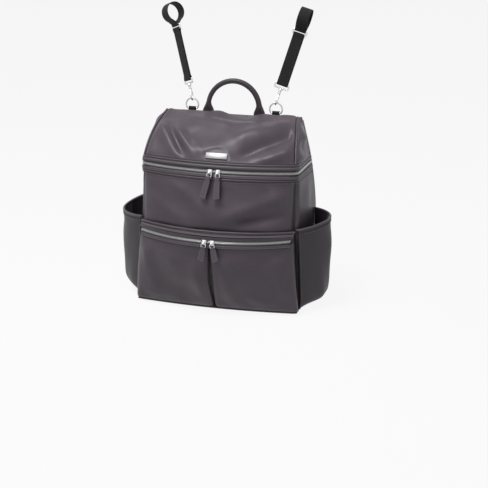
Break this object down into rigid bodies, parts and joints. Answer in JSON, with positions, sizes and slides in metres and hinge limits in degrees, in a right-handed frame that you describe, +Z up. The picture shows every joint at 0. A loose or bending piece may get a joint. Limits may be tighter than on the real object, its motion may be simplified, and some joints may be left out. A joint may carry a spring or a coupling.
{
  "type": "diaper bag",
  "caption": "Backpack-style diaper bag with a zipped lid, front and side pockets, a carry handle, shoulder straps and clip-on stroller straps.",
  "frame": {"origin": "centre of the footprint of the whole object, on the surface that the bag stands on", "axes": "+Z up, +Y towards the wearer, so the front faces -Y, +X to the right seen from the front"},
  "size_m": [0.419, 0.2352, 0.5607],
  "materials": {
    "leather": "soft mauve-grey grained faux leather, low sheen",
    "leather_fold": "the same leather in folds and pleats",
    "lining_cloth": "dark woven lining",
    "floor_board": "cloth-covered stiff board",
    "nickel": "polished nickel",
    "webbing": "black woven webbing",
    "buckle_plastic": "black moulded plastic"
  },
  "bodies": {
    "bag": {"base_panel": "leather", "front_panel": "leather", "back_panel": "leather", "gusset_left": "leather", "gusset_right": "leather", "lining": "lining_cloth", "base_board": "floor_board", "inner_pocket": "lining_cloth", "main_zip_lower": "nickel", "pocket_side_left": "leather_fold", "pocket_side_right": "leather_fold", "pocket_band": "leather", "pocket_zip_upper": "nickel", "side_pocket_left": "leather", "side_pocket_right": "leather", "d_ring_tab_left": "webbing", "d_ring_tab_right": "webbing"},
    "lid": {"lid_panel": "leather", "lid_gusset_left": "leather", "lid_gusset_right": "leather", "main_zip_upper": "nickel", "name_plate": "nickel"},
    "pocket_front": {"pocket_panel_left": "leather", "pocket_panel_right": "leather", "pocket_pleat": "leather_fold", "pocket_zip_lower": "nickel"},
    "handle": {"handle": "leather"},
    "main_slider_left": {"main_slider_left": "nickel"},
    "main_pull_left": {"main_pull_ring_left": "nickel", "main_pull_tab_left": "leather"},
    "pocket_slider_left": {"pocket_slider_left": "nickel"},
    "pocket_pull_left": {"pocket_pull_ring_left": "nickel", "pocket_pull_tab_left": "leather"},
    "d_ring_left": {"d_ring_left": "nickel"},
    "hook_left": {"hook_body_left": "nickel"},
    "hook_gate_left": {"hook_gate_left": "nickel"},
    "stroller_strap_left": {"hook_swivel_left": "nickel", "strap_webbing_left": "webbing"},
    "bar_loop_left": {"strap_ring_left": "nickel", "bar_loop_left": "webbing"},
    "shoulder_strap_left": {"shoulder_pad_left": "leather", "adjuster_left": "buckle_plastic"},
    "shoulder_web_left": {"shoulder_webbing_left": "webbing"},
    "main_slider_right": {"main_slider_right": "nickel"},
    "main_pull_right": {"main_pull_ring_right": "nickel", "main_pull_tab_right": "leather"},
    "pocket_slider_right": {"pocket_slider_right": "nickel"},
    "pocket_pull_right": {"pocket_pull_ring_right": "nickel", "pocket_pull_tab_right": "leather"},
    "d_ring_right": {"d_ring_right": "nickel"},
    "hook_right": {"hook_body_right": "nickel"},
    "hook_gate_right": {"hook_gate_right": "nickel"},
    "stroller_strap_right": {"hook_swivel_right": "nickel", "strap_webbing_right": "webbing"},
    "bar_loop_right": {"strap_ring_right": "nickel", "bar_loop_right": "webbing"},
    "shoulder_strap_right": {"shoulder_pad_right": "leather", "adjuster_right": "buckle_plastic"},
    "shoulder_web_right": {"shoulder_webbing_right": "webbing"}
  },
  "joints": [
    {"name": "lid_hinge", "type": "hinge", "parent": "bag", "child": "lid", "pos_m": [0, 0.0627, 0.357], "axis": [-1, 0, 0], "range_deg": [0, 95]},
    {"name": "pocket_tilt", "type": "hinge", "parent": "bag", "child": "pocket_front", "pos_m": [0, -0.0653, 0.0056], "axis": [1, 0, 0], "range_deg": [0, 10]},
    {"name": "handle_flex", "type": "hinge", "parent": "bag", "child": "handle", "pos_m": [0, 0.0727, 0.3545], "axis": [-1, 0, 0], "range_deg": [-30, 30], "stiffness_Nm_per_rad": 0.08},
    {"name": "main_zip_left", "type": "hinge", "parent": "lid", "child": "main_slider_left", "pos_m": [0, 0.32898, 0.273], "axis": [0, 0, -1], "range_deg": [0, 19.5]},
    {"name": "main_pull_left_swing", "type": "hinge", "parent": "main_slider_left", "child": "main_pull_left", "pos_m": [-0.0075, -0.07613, 0.27175], "axis": [-0.9703, 0.0348, 0.2394], "range_deg": [0, 150]},
    {"name": "pocket_zip_left", "type": "hinge", "parent": "pocket_front", "child": "pocket_slider_left", "pos_m": [0, 0.14222, 0.149], "axis": [0, 0, -1], "range_deg": [0, 31]},
    {"name": "pocket_pull_left_swing", "type": "hinge", "parent": "pocket_slider_left", "child": "pocket_pull_left", "pos_m": [-0.0075, -0.11509, 0.14775], "axis": [-0.9877, 0, 0.1564], "range_deg": [0, 150]},
    {"name": "d_ring_left_swing", "type": "hinge", "parent": "bag", "child": "d_ring_left", "pos_m": [-0.083, 0.0727, 0.3605], "axis": [-1, 0, 0], "range_deg": [-70, 90]},
    {"name": "hook_left_swing", "type": "hinge", "parent": "d_ring_left", "child": "hook_left", "pos_m": [-0.083, 0.0727, 0.3802], "axis": [-0.9613, 0, -0.2756], "range_deg": [-25, 25]},
    {"name": "hook_gate_left_open", "type": "hinge", "parent": "hook_left", "child": "hook_gate_left", "pos_m": [-0.08727, 0.07952, 0.3951], "axis": [-0.9613, 0, -0.2756], "range_deg": [0, 20], "stiffness_Nm_per_rad": 0.03},
    {"name": "swivel_left_turn", "type": "hinge", "parent": "hook_left", "child": "stroller_strap_left", "pos_m": [-0.083, 0.0727, 0.3802], "axis": [-0.273, 0.1392, 0.9519], "continuous": true},
    {"name": "bar_loop_left_swing", "type": "hinge", "parent": "stroller_strap_left", "child": "bar_loop_left", "pos_m": [-0.11982, 0.09147, 0.50861], "axis": [0.7117, -0.6365, 0.2971], "range_deg": [-30, 30]},
    {"name": "shoulder_strap_left_lift", "type": "hinge", "parent": "bag", "child": "shoulder_strap_left", "pos_m": [-0.046, 0.0783, 0.345], "axis": [1, 0, 0], "range_deg": [0, 12]},
    {"name": "shoulder_web_left_bend", "type": "hinge", "parent": "shoulder_strap_left", "child": "shoulder_web_left", "pos_m": [-0.09735, 0.0823, 0.11406], "axis": [0.9545, 0, -0.2983], "range_deg": [-39, 0]},
    {"name": "main_zip_right", "type": "hinge", "parent": "lid", "child": "main_slider_right", "pos_m": [0, 0.32898, 0.273], "axis": [0, 0, 1], "range_deg": [0, 19.5]},
    {"name": "main_pull_right_swing", "type": "hinge", "parent": "main_slider_right", "child": "main_pull_right", "pos_m": [0.0075, -0.07613, 0.27175], "axis": [-1, 0, 0], "range_deg": [0, 150]},
    {"name": "pocket_zip_right", "type": "hinge", "parent": "pocket_front", "child": "pocket_slider_right", "pos_m": [0, 0.14222, 0.149], "axis": [0, 0, 1], "range_deg": [0, 31]},
    {"name": "pocket_pull_right_swing", "type": "hinge", "parent": "pocket_slider_right", "child": "pocket_pull_right", "pos_m": [0.0075, -0.11509, 0.14775], "axis": [-0.9744, 0, -0.225], "range_deg": [0, 150]},
    {"name": "d_ring_right_swing", "type": "hinge", "parent": "bag", "child": "d_ring_right", "pos_m": [0.083, 0.0727, 0.3605], "axis": [-1, 0, 0], "range_deg": [-70, 90]},
    {"name": "hook_right_swing", "type": "hinge", "parent": "d_ring_right", "child": "hook_right", "pos_m": [0.083, 0.0727, 0.3802], "axis": [-0.9613, 0, 0.2756], "range_deg": [-25, 25]},
    {"name": "hook_gate_right_open", "type": "hinge", "parent": "hook_right", "child": "hook_gate_right", "pos_m": [0.08727, 0.07952, 0.3951], "axis": [-0.9613, 0, 0.2756], "range_deg": [0, 20], "stiffness_Nm_per_rad": 0.03},
    {"name": "swivel_right_turn", "type": "hinge", "parent": "hook_right", "child": "stroller_strap_right", "pos_m": [0.083, 0.0727, 0.3802], "axis": [0.273, 0.1392, 0.9519], "continuous": true},
    {"name": "bar_loop_right_swing", "type": "hinge", "parent": "stroller_strap_right", "child": "bar_loop_right", "pos_m": [0.11982, 0.09147, 0.50861], "axis": [0.9613, 0, -0.2756], "range_deg": [-30, 30]},
    {"name": "shoulder_strap_right_lift", "type": "hinge", "parent": "bag", "child": "shoulder_strap_right", "pos_m": [0.046, 0.0783, 0.345], "axis": [1, 0, 0], "range_deg": [0, 12]},
    {"name": "shoulder_web_right_bend", "type": "hinge", "parent": "shoulder_strap_right", "child": "shoulder_web_right", "pos_m": [0.09735, 0.0823, 0.11406], "axis": [0.9545, 0, 0.2983], "range_deg": [-39, 0]}
  ],
  "couplings": [
    {"joint": "shoulder_web_left_bend", "follows": "shoulder_strap_left_lift", "ratio": -3.2},
    {"joint": "shoulder_web_right_bend", "follows": "shoulder_strap_right_lift", "ratio": -3.2}
  ]
}
